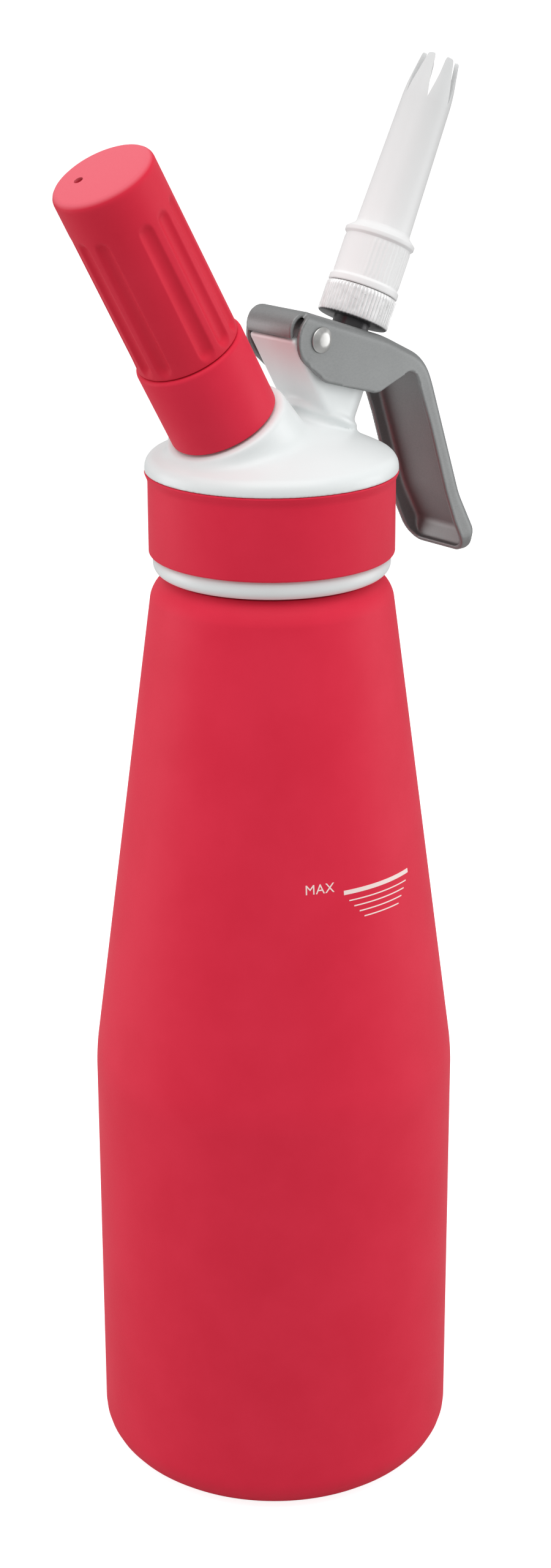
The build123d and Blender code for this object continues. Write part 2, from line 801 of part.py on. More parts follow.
with BuildPart() as lever:
    # the side view of the cheeks and flanges
    above_web = web_start + web_normal * 20
    slab(
        [
            (above_web.X, above_web.Y),
            (web_start.X, web_start.Y),
            (pivot_x, pivot_z),
            *((pivot_x + across, pivot_z + up) for across, up in cheek_corners),
            (pivot_x + 80, handle_end),
            (pivot_x + 80, above_web.Y),
        ],
        [0, 0, 0, *cheek_rounds, 0, 0],
        2 * handle_half_width,
    )
    with Locations(Location((pivot_x, 0, pivot_z), (90, 0, 0))):
        Cylinder(lever_cheek_radius, 2 * lever_half_width)
    add(lever_block(0), mode=Mode.INTERSECT)
    add(lever_block(lever_sheet), mode=Mode.SUBTRACT)

    # the slot the stem passes through
    with BuildSketch(level_on(stem_side, stem_shoulder - 2)):
        with Locations((lever_slot_shift, 0)):
            SlotOverall(lever_slot_length, 2 * lever_slot_half_width)
    extrude(amount=adapter_bottom - stem_shoulder + 4, mode=Mode.SUBTRACT)

    # the curl that closes the web's back edge
    curl_centre = web_start - web_normal * curl_radius
    curl_start = 90 - lever_web_slope
    with BuildSketch(Plane.XZ.offset(-curl_half_width)) as curl:
        with BuildLine():
            outer = CenterArc((curl_centre.X, curl_centre.Y), curl_radius, curl_start, curl_sweep)
            inner = CenterArc((curl_centre.X, curl_centre.Y), curl_radius - lever_sheet, curl_start, curl_sweep)
            Line(outer @ 0, inner @ 0)
            Line(outer @ 1, inner @ 1)
        make_face()
    extrude(curl.sketch, amount=2 * curl_half_width)

    # the holes of the rivet
    with Locations(Location((pivot_x, 0, pivot_z), (90, 0, 0))):
        Cylinder(rivet_radius + running_gap, 2 * lever_half_width + 4, mode=Mode.SUBTRACT)
finish(lever, "lever")

rivet_side = Plane(origin=(pivot_x, 0, pivot_z), x_dir=(1, 0, 0), z_dir=(0, 0, 1))
head_seat = lever_half_width + seat_gap
head_edge = head_seat + 0.35
head_top = head_edge + rivet_head_rise
with BuildPart() as lever_pin:
    spin(
        rivet_side,
        (0, -head_top),
        (rivet_head_radius * 0.55, -head_top + rivet_head_rise * 0.1, 2),
        (rivet_head_radius, -head_edge, 0.3),
        (rivet_head_radius, -head_seat),
        (rivet_radius, -head_seat),
        (rivet_radius, head_seat),
        (rivet_head_radius, head_seat),
        (rivet_head_radius, head_edge, 0.3),
        (rivet_head_radius * 0.55, head_top - rivet_head_rise * 0.1, 2),
        (0, head_top),
    )
finish(lever_pin, "lever_pin")
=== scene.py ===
# %% [markdown]
# A whipped cream dispenser: a steel bottle in a soft red coat, a white head with a red grip, a
# slanted charger holder, and a lever that pushes a stem with a knurled adapter and a slit tip.
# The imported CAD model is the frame: it gives every size and every moving body. This lesson
# dresses it, piece by piece. Lengths are in millimetres until a mesh is put in its place.

# %% Open the frame
from math import atan2, cos, hypot, pi, radians, sin, sqrt, tan

import bmesh
import bpy
import numpy as np
from mathutils import Matrix, Vector


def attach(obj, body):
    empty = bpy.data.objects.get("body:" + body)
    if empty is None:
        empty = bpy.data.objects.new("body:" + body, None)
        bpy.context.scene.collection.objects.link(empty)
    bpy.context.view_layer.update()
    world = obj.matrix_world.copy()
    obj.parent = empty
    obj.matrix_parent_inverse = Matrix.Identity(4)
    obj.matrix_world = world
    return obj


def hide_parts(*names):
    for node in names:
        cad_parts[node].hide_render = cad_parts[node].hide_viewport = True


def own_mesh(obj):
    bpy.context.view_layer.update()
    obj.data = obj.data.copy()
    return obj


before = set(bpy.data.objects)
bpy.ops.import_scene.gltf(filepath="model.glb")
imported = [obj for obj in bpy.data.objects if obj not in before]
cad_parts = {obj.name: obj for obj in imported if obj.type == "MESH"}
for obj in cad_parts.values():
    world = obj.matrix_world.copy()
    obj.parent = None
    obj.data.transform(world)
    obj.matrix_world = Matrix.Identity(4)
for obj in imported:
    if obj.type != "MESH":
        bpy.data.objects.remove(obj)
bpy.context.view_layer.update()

# %% [markdown]
# Nearly every piece is turned about one of four axes: the bottle's, the charger holder's, the
# stem's and the rivet's. So each axis is written down once, as the matrix that carries a piece
# drawn upright round the Z axis in millimetres to its place in metres.


# %% The four axes
def leaning(foot, lean):
    """Matrix of an axis in the XZ plane that leans towards +X."""
    across, up = Vector((cos(lean), 0, -sin(lean))), Vector((sin(lean), 0, cos(lean)))
    turn = Matrix((across, (0, 1, 0), up)).transposed().to_4x4()
    return Matrix.Scale(0.001, 4) @ Matrix.Translation(foot) @ turn


rim = 274.5
bottle_axis = Matrix.Scale(0.001, 4)
holder_lean, holder_start, cup_face = radians(-30.0), -7.1, 16.2
holder_foot = (holder_start + cup_face * sin(holder_lean), 0, rim + cup_face * cos(holder_lean))
holder_axis = leaning(holder_foot, holder_lean)
stem_lean, stem_start = radians(25.6), 10.8
stem_axis = leaning((stem_start, 0, rim), stem_lean)
pivot = (7.6, 0, 307.0)
rivet_axis = bottle_axis @ Matrix.Translation(pivot) @ Matrix.Rotation(pi / 2, 4, "X")
print("the holder's foot is at", tuple(round(v, 4) for v in holder_axis.translation))

# %% [markdown]
# A finish is a small tree of nodes. A signal below stands for one socket of that tree, and sums
# written with signals add the Math nodes that work them out, so a pattern reads like arithmetic.


# %% Signals and finishes
class Signal:
    """A node's output that can be used in sums."""

    def __init__(self, finish, socket):
        self.finish, self.socket = finish, socket

    def math(self, operation, *others):
        return self.finish.node("ShaderNodeMath", {"operation": operation}, [self, *others])

    def out(self, name):
        return Signal(self.finish, self.socket.node.outputs[name])

    def __add__(self, other):
        return self.math("ADD", other)

    def __sub__(self, other):
        return self.math("SUBTRACT", other)

    def __mul__(self, other):
        return self.math("MULTIPLY", other)

    def __truediv__(self, other):
        return self.math("DIVIDE", other)

    __radd__ = __add__

    def at_least(self, other):
        return self.math("MAXIMUM", other)

    def at_most(self, other):
        return self.math("MINIMUM", other)

    def within(self):
        """Held between 0 and 1."""
        return self.at_least(0.0).at_most(1.0)

    def rise(self, low, high):
        """0 up to low, 1 from high, and even between."""
        return ((self - low) / (high - low)).within()


# A Mix node keeps its colour sockets at these places.
mix_first, mix_second, mix_result = 6, 7, 2


class Finish:
    """A material, and the one way in which its nodes are made."""

    def __init__(self, name, **constants):
        self.material = bpy.data.materials.new(name)
        self.material.use_nodes = True
        self.tree = self.material.node_tree
        self.tree.nodes.clear()
        self.shader = self.node("ShaderNodeBsdfPrincipled")
        self.node("ShaderNodeOutputMaterial", {}, {"Surface": self.shader})
        for socket, value in constants.items():
            self.set(socket.replace("_", " "), value)

    def feed(self, target, value):
        """Links a signal to an input socket, or sets its value."""
        if isinstance(value, Signal):
            self.tree.links.new(value.socket, target)
        else:
            target.default_value = value

    def node(self, kind, settings=None, inputs=None):
        """A new node. Its inputs are a list in order, or a dict by name or place."""
        made = self.tree.nodes.new(kind)
        for name, value in (settings or {}).items():
            setattr(made, name, value)
        pairs = enumerate(inputs) if isinstance(inputs, list) else (inputs or {}).items()
        for place, value in pairs:
            self.feed(made.inputs[place], value)
        return Signal(self, made.outputs[0]) if made.outputs else None

    def set(self, socket, value):
        self.feed(self.shader.socket.node.inputs[socket], value)

    def place(self):
        """The point on the piece in millimetres, as a vector signal."""
        spot = self.node("ShaderNodeTexCoord").out("Object")
        return self.node("ShaderNodeVectorMath", {"operation": "SCALE"}, {0: spot, "Scale": 1000.0})

    def axes(self, spot):
        parts = self.node("ShaderNodeSeparateXYZ", {}, [spot])
        return parts.out("X"), parts.out("Y"), parts.out("Z")

    def stretched(self, spot, turn, scale):
        change = {"Vector": spot, "Rotation": turn, "Scale": scale}
        return self.node("ShaderNodeMapping", {}, change)

    def noise(self, spot, scale, detail=2.0):
        pattern = {"Vector": spot, "Scale": scale, "Detail": detail}
        return self.node("ShaderNodeTexNoise", {}, pattern)

    def blend(self, share, first, second):
        """A mix of two colours."""
        colours = {"Factor": share, mix_first: first, mix_second: second}
        return self.node("ShaderNodeMix", {"data_type": "RGBA"}, colours).out(mix_result)

    def bump(self, height, distance):
        relief = {"Height": height, "Distance": distance, "Strength": 0.5}
        self.set("Normal", self.node("ShaderNodeBump", {}, relief))


def rgb(red, green, blue):
    """A colour given as it looks on a screen, from 0 to 255, where no channel is near black."""
    return (*(((v / 255 + 0.055) / 1.055) ** 2.4 for v in (red, green, blue)), 1.0)


def dimmed(colour, share):
    return (*(channel * share for channel in colour[:3]), 1.0)


def height_along(made, spot, axis, lean):
    """Height along a leaning axis in millimetres, as a signal."""
    across, _, up = made.axes(spot)
    foot = axis.translation * 1000
    return (across - foot.x) * sin(lean) + (up - foot.z) * cos(lean)


print("a mid grey is", round(rgb(128, 128, 128)[0], 3), "of the light")

# %% [markdown]
# The real finishes are few. The coat, the collar and the holder's cuff are one soft silicone:
# dull, with a faint grain that only shows where light grazes it. The sleeve's is a shade darker
# and has a pale sheen painted on its end. The head is smooth moulded plastic, the tip a milky one.
# Each finish below has its grain at its real scale.


# %% Silicone and plastics
def silicone(name, dim, bright, painted_sheen=None):
    """Soft red rubber. painted_sheen is where, along the holder, a pale painted sheen on its end
    starts, and its colour.
    """
    made = Finish(name, Roughness=0.52, Specular_IOR_Level=0.15)
    spot = made.place()
    cloud = made.noise(spot, 0.06, 3.0).rise(0.35, 0.65)
    tone = made.blend(cloud, dim, bright)
    # A pale sheen is painted on the holder's end, where its top catches the light.
    if painted_sheen:
        along = height_along(made, spot, holder_axis, holder_lean)
        tone = made.blend(along.rise(*painted_sheen[0]), tone, painted_sheen[1])
    made.set("Base Color", tone)
    grain = made.noise(spot, 2.2)
    made.set("Roughness", 0.46 + grain * 0.16)
    made.bump(grain, 0.00003)
    return made.material


def moulded(name, colour, gloss, grain_depth, mouth=None):
    """A moulded plastic. mouth is where, along the stem, it turns greyer towards the tip's mouth,
    and that colour.
    """
    made = Finish(name, Roughness=gloss)
    spot = made.place()
    tone = made.blend(made.noise(spot, 0.08), dimmed(colour, 0.97), colour)
    if mouth:
        along = height_along(made, spot, stem_axis, stem_lean)
        tone = made.blend(along.rise(*mouth[0]), tone, mouth[1])
    made.set("Base Color", tone)
    grain = made.noise(spot, 1.6)
    made.set("Roughness", gloss + (grain - 0.5) * 0.12)
    made.bump(grain, grain_depth)
    return made.material


fine_grain, coarse_grain = 0.00001, 0.00002
coat_red = silicone("coat_silicone", rgb(224, 42, 68), rgb(228, 46, 72))
# The sleeve's end gets a painted sheen: pale where its top catches the light.
sleeve_end_sheen = ((71.0, 71.7), rgb(229, 100, 114))
sleeve_red = silicone("sleeve_silicone", rgb(216, 40, 63), rgb(220, 44, 67), sleeve_end_sheen)
head_white = moulded("head_plastic", rgb(235, 239, 239), 0.34, fine_grain)
cap_white = moulded("cap_plastic", rgb(232, 232, 231), 0.35, fine_grain)
# The tip's colour turns greyer towards its mouth.
greyer_mouth = ((48.0, 104.0), rgb(214, 215, 215))
tip_white = moulded("tip_plastic", rgb(242, 242, 242), 0.42, fine_grain, greyer_mouth)
seal_grey = moulded("seal_rubber", rgb(205, 205, 200), 0.6, coarse_grain)
seal_black = moulded("black_rubber", rgb(32, 32, 33), 0.55, coarse_grain)
print("soft finishes:", coat_red.name, head_white.name, tip_white.name)

# %% [markdown]
# Metals differ by how they were worked. The lever's sheet was blasted, so it is grey and
# speckled, with a faint drag along its length. The bottle, the stem and the holder's liner were
# turned, which leaves rings round their axis, so there the pattern is squeezed along the axis.


# %% Metals
def metal(name, colour, dull, lean=0.0, stretch=(1, 1, 1), bare=1.0, foot=None):
    """A worked metal. bare is how metallic it is, and foot where painted shade on the stem's foot
    ends.
    """
    made = Finish(name, Metallic=bare, Roughness=dull)
    spot = made.place()
    drag = made.noise(made.stretched(spot, (0, lean, 0), stretch), 1.0, 4.0)
    patch = made.noise(spot, 0.12, 3.0)
    worked = (drag * 0.7 + patch * 0.3).rise(0.3, 0.7)
    tone = made.blend(worked, dimmed(colour, 0.82), colour)
    # Painted shade: under foot, along the stem, the colour turns dark grey.
    if foot:
        along = height_along(made, spot, stem_axis, stem_lean)
        tone = made.blend(along.rise(*foot), rgb(74, 74, 76), tone)
    made.set("Base Color", tone)
    made.set("Roughness", (dull + (drag - 0.5) * 0.14).within())
    made.bump(drag, coarse_grain)
    return made.material


pale, turned_rings = rgb(205, 205, 203), (0.4, 0.4, 3.0)
lever_steel = metal(
    "blasted_steel", rgb(142, 144, 144), 0.48, radians(19), (1.4, 2.4, 2.4), bare=0.6
)
rivet_steel = metal("rivet_steel", rgb(196, 196, 194), 0.34, 0.0, (0.9, 0.5, 0.9))
bottle_steel = metal("bottle_steel", pale, 0.28, 0.0, (0.3, 0.3, 3.0))
stem_steel = metal("stem_steel", pale, 0.22, -stem_lean, turned_rings)
spring_steel = metal("spring_steel", rgb(170, 170, 168), 0.32)
liner_metal = metal("liner_metal", rgb(208, 208, 206), 0.3, -holder_lean, turned_rings)
charger_steel = metal("charger_steel", rgb(212, 212, 210), 0.2, -holder_lean, (0.3, 0.3, 2.0))
plated_brass = metal("plated_brass", rgb(208, 200, 176), 0.25, -holder_lean, turned_rings)
# The adapter's neck and underside get painted shade, as if in the lever's shadow.
adapter_metal = metal(
    "knurled_metal",
    rgb(250, 250, 250),
    0.3,
    -stem_lean,
    (0.6, 0.6, 0.6),
    bare=0.3,
    foot=(37.45, 37.75),
)
print("metals:", lever_steel.name, adapter_metal.name, rivet_steel.name)

# %% [markdown]
# A turned piece starts as the wire of its half section. A vertex bevel with a profile of 0.5
# rounds a corner into a true arc when its offset is the radius times the tangent of half the
# turn, and spin sweeps the wire round the axis. Corners are (radius, height, round).


# %% Turning a piece
def half_section(corners):
    """The wire of a half section, with its corners rounded and the axis left open."""
    shape = bmesh.new()
    points = [Vector((corner[0], 0, corner[1])) for corner in corners]
    verts = [shape.verts.new(point) for point in points]
    for one, other in zip(verts, verts[1:] + verts[:1]):
        if one.co.x > 0 or other.co.x > 0:
            shape.edges.new((one, other))
    for i, corner in enumerate(corners):
        if len(corner) > 2:
            back = points[i - 1] - points[i]
            on = points[(i + 1) % len(points)] - points[i]
            reach = corner[2] * tan((pi - back.angle(on)) / 2)
            bmesh.ops.bevel(
                shape,
                geom=[verts[i]],
                offset=reach,
                affect="VERTICES",
                segments=max(3, round(4 + corner[2] * 0.4)),
                profile=0.5,
                material=-1,
            )
    return shape


def cut_finer(shape, low, high, length):
    """Divides the upright edges between two heights into pieces of that length."""
    for edge in list(shape.edges):
        one, other = sorted(vert.co.z for vert in edge.verts)
        if low < one and other < high and edge.calc_length() > length:
            cuts = int(edge.calc_length() / length)
            bmesh.ops.subdivide_edges(shape, edges=[edge], cuts=cuts)


def spin_round(shape, steps):
    """Sweeps the wire round the Z axis and closes it."""
    bmesh.ops.spin(
        shape,
        geom=shape.verts[:] + shape.edges[:],
        cent=(0, 0, 0),
        axis=(0, 0, 1),
        angle=2 * pi,
        steps=steps,
        use_merge=True,
    )
    bmesh.ops.remove_doubles(shape, verts=shape.verts, dist=0.0005)
    return shape


def finished(shape, name, body, finish, axis=bottle_axis, node=None, sharp=32):
    """Puts a shape in its place as a piece that rides on a body."""
    bmesh.ops.recalc_face_normals(shape, faces=shape.faces)
    bmesh.ops.transform(shape, matrix=axis, verts=shape.verts)
    mesh = bpy.data.meshes.new(name)
    shape.to_mesh(mesh)
    shape.free()
    mesh.shade_smooth()
    mesh.set_sharp_from_angle(angle=radians(sharp))
    mesh.materials.append(finish)
    piece = bpy.data.objects.new(name, mesh)
    bpy.context.scene.collection.objects.link(piece)
    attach(piece, body)
    if node:
        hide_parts(node)
    print(f"{name}: {len(mesh.polygons)} faces")
    return piece


def turned(name, corners, body, finish, axis=bottle_axis, node=None, steps=160, sharp=32):
    """A piece that is a half section and nothing more."""
    return finished(spin_round(half_section(corners), steps), name, body, finish, axis, node, sharp)


# %% [markdown]
# The coat is stretched over the bottle: straight at the foot, then a long taper to a rounded
# shoulder. It is a shell, so both its walls are in the half section.

# %% The coat
body_radius, shoulder_radius, coat_wall = 47.5, 30.6, 1.5
coat_rise, shoulder_height, coat_top = 116.8, 244.0, 247.9
taper = (body_radius - shoulder_radius) / (shoulder_height - coat_rise)


def coat_radius(height):
    """The coat's outer radius at a height under its shoulder."""
    return body_radius - taper * max(0.0, height - coat_rise)


turned(
    "coat",
    [
        (0, 0),
        (body_radius, 0, 10),
        (body_radius, coat_rise, 60),
        (shoulder_radius, shoulder_height, 6.6),
        (26.9, coat_top, 0.3),
        (25.0, coat_top),
        (29.5, 243.1, 5.5),
        (body_radius - coat_wall, coat_rise - 0.1, 58),
        (body_radius - coat_wall, coat_wall, 8.5),
        (0, coat_wall),
    ],
    "vessel",
    coat_red,
    node="bottle_coat",
    steps=192,
)

# %% [markdown]
# The fill mark is screen printed: a bar, four fine lines that get shorter, and a plain word.
# A line is the half section of a thin strip, spun over part of a turn, so that it follows the
# coat. The word starts as flat text, and each of its vertices is then wrapped round the taper.


# %% The fill mark
def join(target, shape):
    """Adds one shape to another, and frees it."""
    mesh = bpy.data.meshes.new("joined")
    shape.to_mesh(mesh)
    shape.free()
    target.from_mesh(mesh)
    bpy.data.meshes.remove(mesh)


ink = moulded("mark_ink", rgb(253, 232, 226), 0.45, fine_grain)
ink_under, ink_over = 0.02, 0.05
# Each line: its lower and upper height, and its start and end in degrees.
mark_lines = [
    (174.4, 175.5, -104.7, -71.8),
    (172.6, 172.9, -102.7, -73.8),
    (171.0, 171.3, -100.8, -75.7),
    (169.4, 169.7, -98.7, -77.6),
    (167.8, 168.1, -96.8, -79.7),
]
fill_mark = bmesh.new()
for low, high, start, end in mark_lines:
    strip = half_section(
        [
            (coat_radius(low) - ink_under, low),
            (coat_radius(low) + ink_over, low),
            (coat_radius(high) + ink_over, high),
            (coat_radius(high) - ink_under, high),
        ]
    )
    bmesh.ops.contextual_create(strip, geom=strip.edges[:])
    to_start = Matrix.Rotation(radians(start), 3, "Z")
    bmesh.ops.rotate(strip, verts=strip.verts, cent=(0, 0, 0), matrix=to_start)
    bmesh.ops.spin(
        strip,
        geom=strip.verts[:] + strip.edges[:] + strip.faces[:],
        cent=(0, 0, 0),
        axis=(0, 0, 1),
        angle=radians(end - start),
        steps=40,
        use_duplicate=False,
    )
    join(fill_mark, strip)

word_foot, word_start = 175.7, radians(-119.6)
word = bpy.data.curves.new("word", "FONT")
word.body, word.size, word.extrude = "MAX", 3.5, 0.03
word.space_character = 1.06
word_object = bpy.data.objects.new("word", word)
word_mesh = word_object.to_mesh()
letters = bmesh.new()
letters.from_mesh(word_mesh)
word_object.to_mesh_clear()
bpy.data.objects.remove(word_object)
for vert in letters.verts:
    height = word_foot + vert.co.y
    around = word_start + vert.co.x / coat_radius(height)
    out = coat_radius(height) + 0.02 + vert.co.z
    vert.co = (out * cos(around), out * sin(around), height)
join(fill_mark, letters)
finished(fill_mark, "fill_mark", "vessel", ink)

# %% [markdown]
# The head and the lever are not turned. They start as copies of the CAD solids, are voxel
# remeshed into one even skin, and are then relaxed. On the head the hollow corners are filled
# as well: a point moves only outwards, so that the corners turn softly as in a mould.


# %% Copies, cuts and relaxing
def cad_copy(node):
    """A CAD node's mesh in millimetres, with its seams merged."""
    shape = bmesh.new()
    shape.from_mesh(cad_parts[node].data)
    bmesh.ops.transform(shape, matrix=Matrix.Scale(1000, 4), verts=shape.verts)
    bmesh.ops.remove_doubles(shape, verts=shape.verts, dist=0.005)
    return shape


def kept_side(shape, height, upward, capped):
    """Leaves only what is over a height (upward 1) or under it (upward -1)."""
    cut = bmesh.ops.bisect_plane(
        shape,
        geom=shape.verts[:] + shape.edges[:] + shape.faces[:],
        dist=0.0001,
        plane_co=(0, 0, height),
        plane_no=(0, 0, upward),
        clear_inner=True,
    )
    if capped:
        rims = [item for item in cut["geom_cut"] if isinstance(item, bmesh.types.BMEdge)]
        bmesh.ops.triangle_fill(shape, edges=rims, use_beauty=True)
    return shape


def opened(mesh):
    """A mesh as a shape again. The mesh is removed."""
    shape = bmesh.new()
    shape.from_mesh(mesh)
    bpy.data.meshes.remove(mesh)
    return shape


def after_modifier(shape, kind, cutter=None, **settings):
    """The shape as one modifier leaves it, as a mesh."""
    made = []
    for part in [shape] + ([cutter] if cutter else []):
        bmesh.ops.recalc_face_normals(part, faces=part.faces)
        mesh = bpy.data.meshes.new("workpiece")
        part.to_mesh(mesh)
        part.free()
        made.append(bpy.data.objects.new("workpiece", mesh))
        bpy.context.scene.collection.objects.link(made[-1])
    modifier = made[0].modifiers.new("step", kind)
    for name, value in settings.items():
        setattr(modifier, name, value)
    if cutter:
        modifier.object = made[1]
    graph = bpy.context.evaluated_depsgraph_get()
    result = bpy.data.meshes.new_from_object(made[0].evaluated_get(graph), depsgraph=graph)
    for item in made:
        mesh = item.data
        bpy.data.objects.remove(item)
        bpy.data.meshes.remove(mesh)
    return result


def carved(shape, cutter):
    """The shape less the cutter."""
    return opened(
        after_modifier(shape, "BOOLEAN", cutter, operation="DIFFERENCE", solver="EXACT")
    )


smooth_share, spread_share, fill_share, normals_every = 0.5, -0.52, 0.7, 10


def relaxed(shape, voxel, passes, fills=0, zone=None):
    """An even, softened skin of the shape. Hollow corners in the zone are filled so many times."""
    mesh = after_modifier(shape, "REMESH", mode="VOXEL", voxel_size=voxel)
    total = len(mesh.vertices)
    spots, ends = np.empty(3 * total), np.empty(2 * len(mesh.edges), dtype=np.int64)
    mesh.vertices.foreach_get("co", spots)
    mesh.edges.foreach_get("vertices", ends)
    spots = spots.reshape(-1, 3)
    one, other = ends.reshape(-1, 2).T
    neighbours = np.bincount(ends, minlength=total)[:, None]

    def pull():
        """From each point to the middle of its neighbours."""
        sums = [
            np.bincount(one, column[other], total) + np.bincount(other, column[one], total)
            for column in spots.T
        ]
        return np.stack(sums, axis=1) / neighbours - spots

    for share in (smooth_share, spread_share) * passes:
        spots += pull() * share
    for fill in range(fills):
        if fill % normals_every == 0:
            mesh.vertices.foreach_set("co", spots.ravel())
            mesh.update()
            normals = np.empty(3 * total)
            mesh.vertices.foreach_get("normal", normals)
            normals = normals.reshape(-1, 3)
            weight = zone(spots)[:, None]
        outward = np.maximum((pull() * normals).sum(axis=1, keepdims=True), 0)
        spots += outward * normals * weight * fill_share
    mesh.vertices.foreach_set("co", spots.ravel())
    return opened(mesh)


# %% [markdown]
# The head is cut in two behind the collar. Its skirt, with the screw thread inside, stays as it
# is drawn in CAD. The dome, the cup, the post and the stub over it are relaxed together, and
# their feet are filled where they grow out of the dome.


# %% The head
def feet(spots):
    """1 where the dome's outgrowths have soft feet, 0 at the collar and at the rivet."""
    height = spots[:, 2]
    return np.clip((height - 277.5) / 2, 0, 1) * np.clip((301 - height) / 4, 0, 1)


head_split = 273.0
above_split = kept_side(cad_copy("head_body"), head_split, 1, True)
head = relaxed(above_split, voxel=0.43, passes=2, fills=22, zone=feet)
join(head, kept_side(cad_copy("head_body"), head_split, -1, False))
finished(head, "head", "head", head_white, node="head_body", sharp=40)

# %% [markdown]
# The red collar is the head's grip. Its upper edge flares out to a thin lip.

# %% The collar
collar_low, collar_high, collar_bore, collar_radius = 253.55, 274.45, 28.85, 31.0
turned(
    "collar",
    [
        (collar_bore, collar_low),
        (collar_radius, collar_low, 0.6),
        (collar_radius, 272.3, 3),
        (31.9, collar_high, 0.3),
        (collar_bore, collar_high),
    ],
    "head",
    coat_red,
    node="collar_grip",
    steps=192,
)

# %% [markdown]
# The holder has a cuff and a sleeve. The sleeve's nine finger grooves stand in three groups.
# Each is pressed into the turned wall: a vertex goes inwards as far as a ball or a rod of the
# groove's radius would push it, and the groove's edge is softened over a few tenths.

# %% The holder
turned(
    "cuff",
    [(12.25, 0.6), (13.8, 0.6, 0.5), (13.8, 22.4, 1.0), (12.25, 22.4)],
    "holder",
    coat_red,
    holder_axis,
    "holder_cuff",
)

groove_groups, groove_step = (-79.5, -180.5, 50.0), 25.5
groove_low, groove_high = 26.0, 59.5
groove_rod, groove_depth, sleeve_foot = 2.5, 1.15, 13.1
groove_edge = 0.012
groove_middles = [
    radians(middle + place * groove_step) for middle in groove_groups for place in (-1, 0, 1)
]


def pressed_wall(radius, around, height):
    """The wall's radius once the grooves are pressed in."""
    past = max(groove_low - height, height - groove_high, 0)
    rod_centre = sleeve_foot - groove_depth + groove_rod
    for middle in groove_middles:
        turn = (around - middle + pi) % (2 * pi) - pi
        room = groove_rod**2 - past**2 - (rod_centre * sin(turn)) ** 2
        if abs(turn) < 0.4 and room > -1.5:
            groove = rod_centre * cos(turn) - (sqrt(room) if room > 0 else room * 0.9)
            gap = radius - groove
            radius -= 0.5 * (gap + sqrt(gap * gap + groove_edge))
    return radius


sleeve_low, sleeve_high, sleeve_bore, sleeve_floor = 22.7, 71.95, 11.45, 70.35
section = half_section(
    [
        (sleeve_bore, sleeve_low),
        (sleeve_foot, sleeve_low, 0.3),
        (12.8, sleeve_high, 1.8),
        (0, sleeve_high),
        (0, sleeve_floor),
        (sleeve_bore, sleeve_floor),
    ]
)
cut_finer(section, 22.0, 71.0, 0.7)
sleeve = spin_round(section, 320)
for vert in sleeve.verts:
    radius = hypot(vert.co.x, vert.co.y)
    if radius > 12 and 23 < vert.co.z < 68:
        vert.co.xy *= pressed_wall(radius, atan2(vert.co.y, vert.co.x), vert.co.z) / radius
vent_radius, vent_place = 1.15, (-3.2, 4.8, 71)
vent = bmesh.new()
bmesh.ops.create_cone(
    vent,
    cap_ends=True,
    segments=40,
    radius1=vent_radius,
    radius2=vent_radius,
    depth=8,
    matrix=Matrix.Translation(vent_place),
)
finished(carved(sleeve, vent), "sleeve", "holder", sleeve_red, holder_axis, "holder_grip", sharp=45)

# %% [markdown]
# The valve's parts stand on the stem's axis. The spring is a ring of points swept by spin with a
# rise at each step.

# %% The spring and its cap
spring_low, spring_high, coils, coil_steps = 14.6, 31.05, 6, 36
coil_radius, wire_radius = 5.9, 0.55
wire_start = Matrix.Translation((coil_radius, 0, spring_low)) @ Matrix.Rotation(pi / 2, 4, "X")
coil = bmesh.new()
bmesh.ops.create_circle(coil, segments=14, radius=wire_radius, matrix=wire_start)
bmesh.ops.spin(
    coil,
    geom=coil.verts[:] + coil.edges[:],
    cent=(0, 0, 0),
    axis=(0, 0, 1),
    dvec=(0, 0, (spring_high - spring_low) / (coils * coil_steps)),
    angle=2 * pi * coils,
    steps=coils * coil_steps,
)
bmesh.ops.holes_fill(coil, edges=[edge for edge in coil.edges if edge.is_boundary])
spring = finished(coil, "spring", "head", spring_steel, stem_axis, "valve_spring")
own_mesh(spring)

turned(
    "cap",
    [(3.45, 31.65), (6.6, 31.65, 0.3), (6.6, 33.15, 0.5), (4.8, 33.85, 0.4), (3.45, 33.85)],
    "valve",
    cap_white,
    stem_axis,
    "spring_cap",
    steps=96,
)

# %% [markdown]
# The adapter's grip is straight knurling. The ring is turned first, and its outer wall is then
# drawn in between the ridges, so that the ridges stand out as round bars.

# %% The adapter
knurls, knurl_foot, knurl_top = 56, 8.62, 9.15
spigot, spigot_high = 6.9, 56.7
section = half_section(
    [
        (3.45, 33.9),
        (4.7, 33.9, 0.2),
        (4.7, 37.3),
        (8.75, 37.3, 0.15),
        (knurl_top, 37.7),
        (knurl_top, 44.8),
        (8.75, 45.2, 0.15),
        (spigot, 45.2),
        (spigot, spigot_high, 0.8),
        (4.9, spigot_high),
        (4.9, 43.05),
        (3.45, 43.05),
    ]
)
cut_finer(section, 37.4, 45.1, 1.0)
adapter = spin_round(section, knurls * 8)
for vert in adapter.verts:
    radius = hypot(vert.co.x, vert.co.y)
    if radius > knurl_foot:
        ridge = abs(cos(knurls / 2 * atan2(vert.co.y, vert.co.x))) ** 1.2
        vert.co.xy *= (knurl_foot + (radius - knurl_foot) * ridge) / radius
finished(adapter, "adapter", "valve", adapter_metal, stem_axis, "tip_adapter", sharp=50)

turned(
    "washer",
    [(6.95, 45.25), (7.9, 45.25, 0.2), (7.9, 46.15, 0.2), (6.95, 46.15)],
    "washer",
    seal_grey,
    stem_axis,
    "tip_washer",
    steps=96,
)

# %% [markdown]
# The decorator tip is one moulding: a skirt between two beads, then a slim cone with six slits.
# Fine ribs cover two sides of the skirt, and fade out at their ends. Each slit is a wedge that
# widens to the mouth and flares at the last millimetre, which rounds the corners of the teeth.

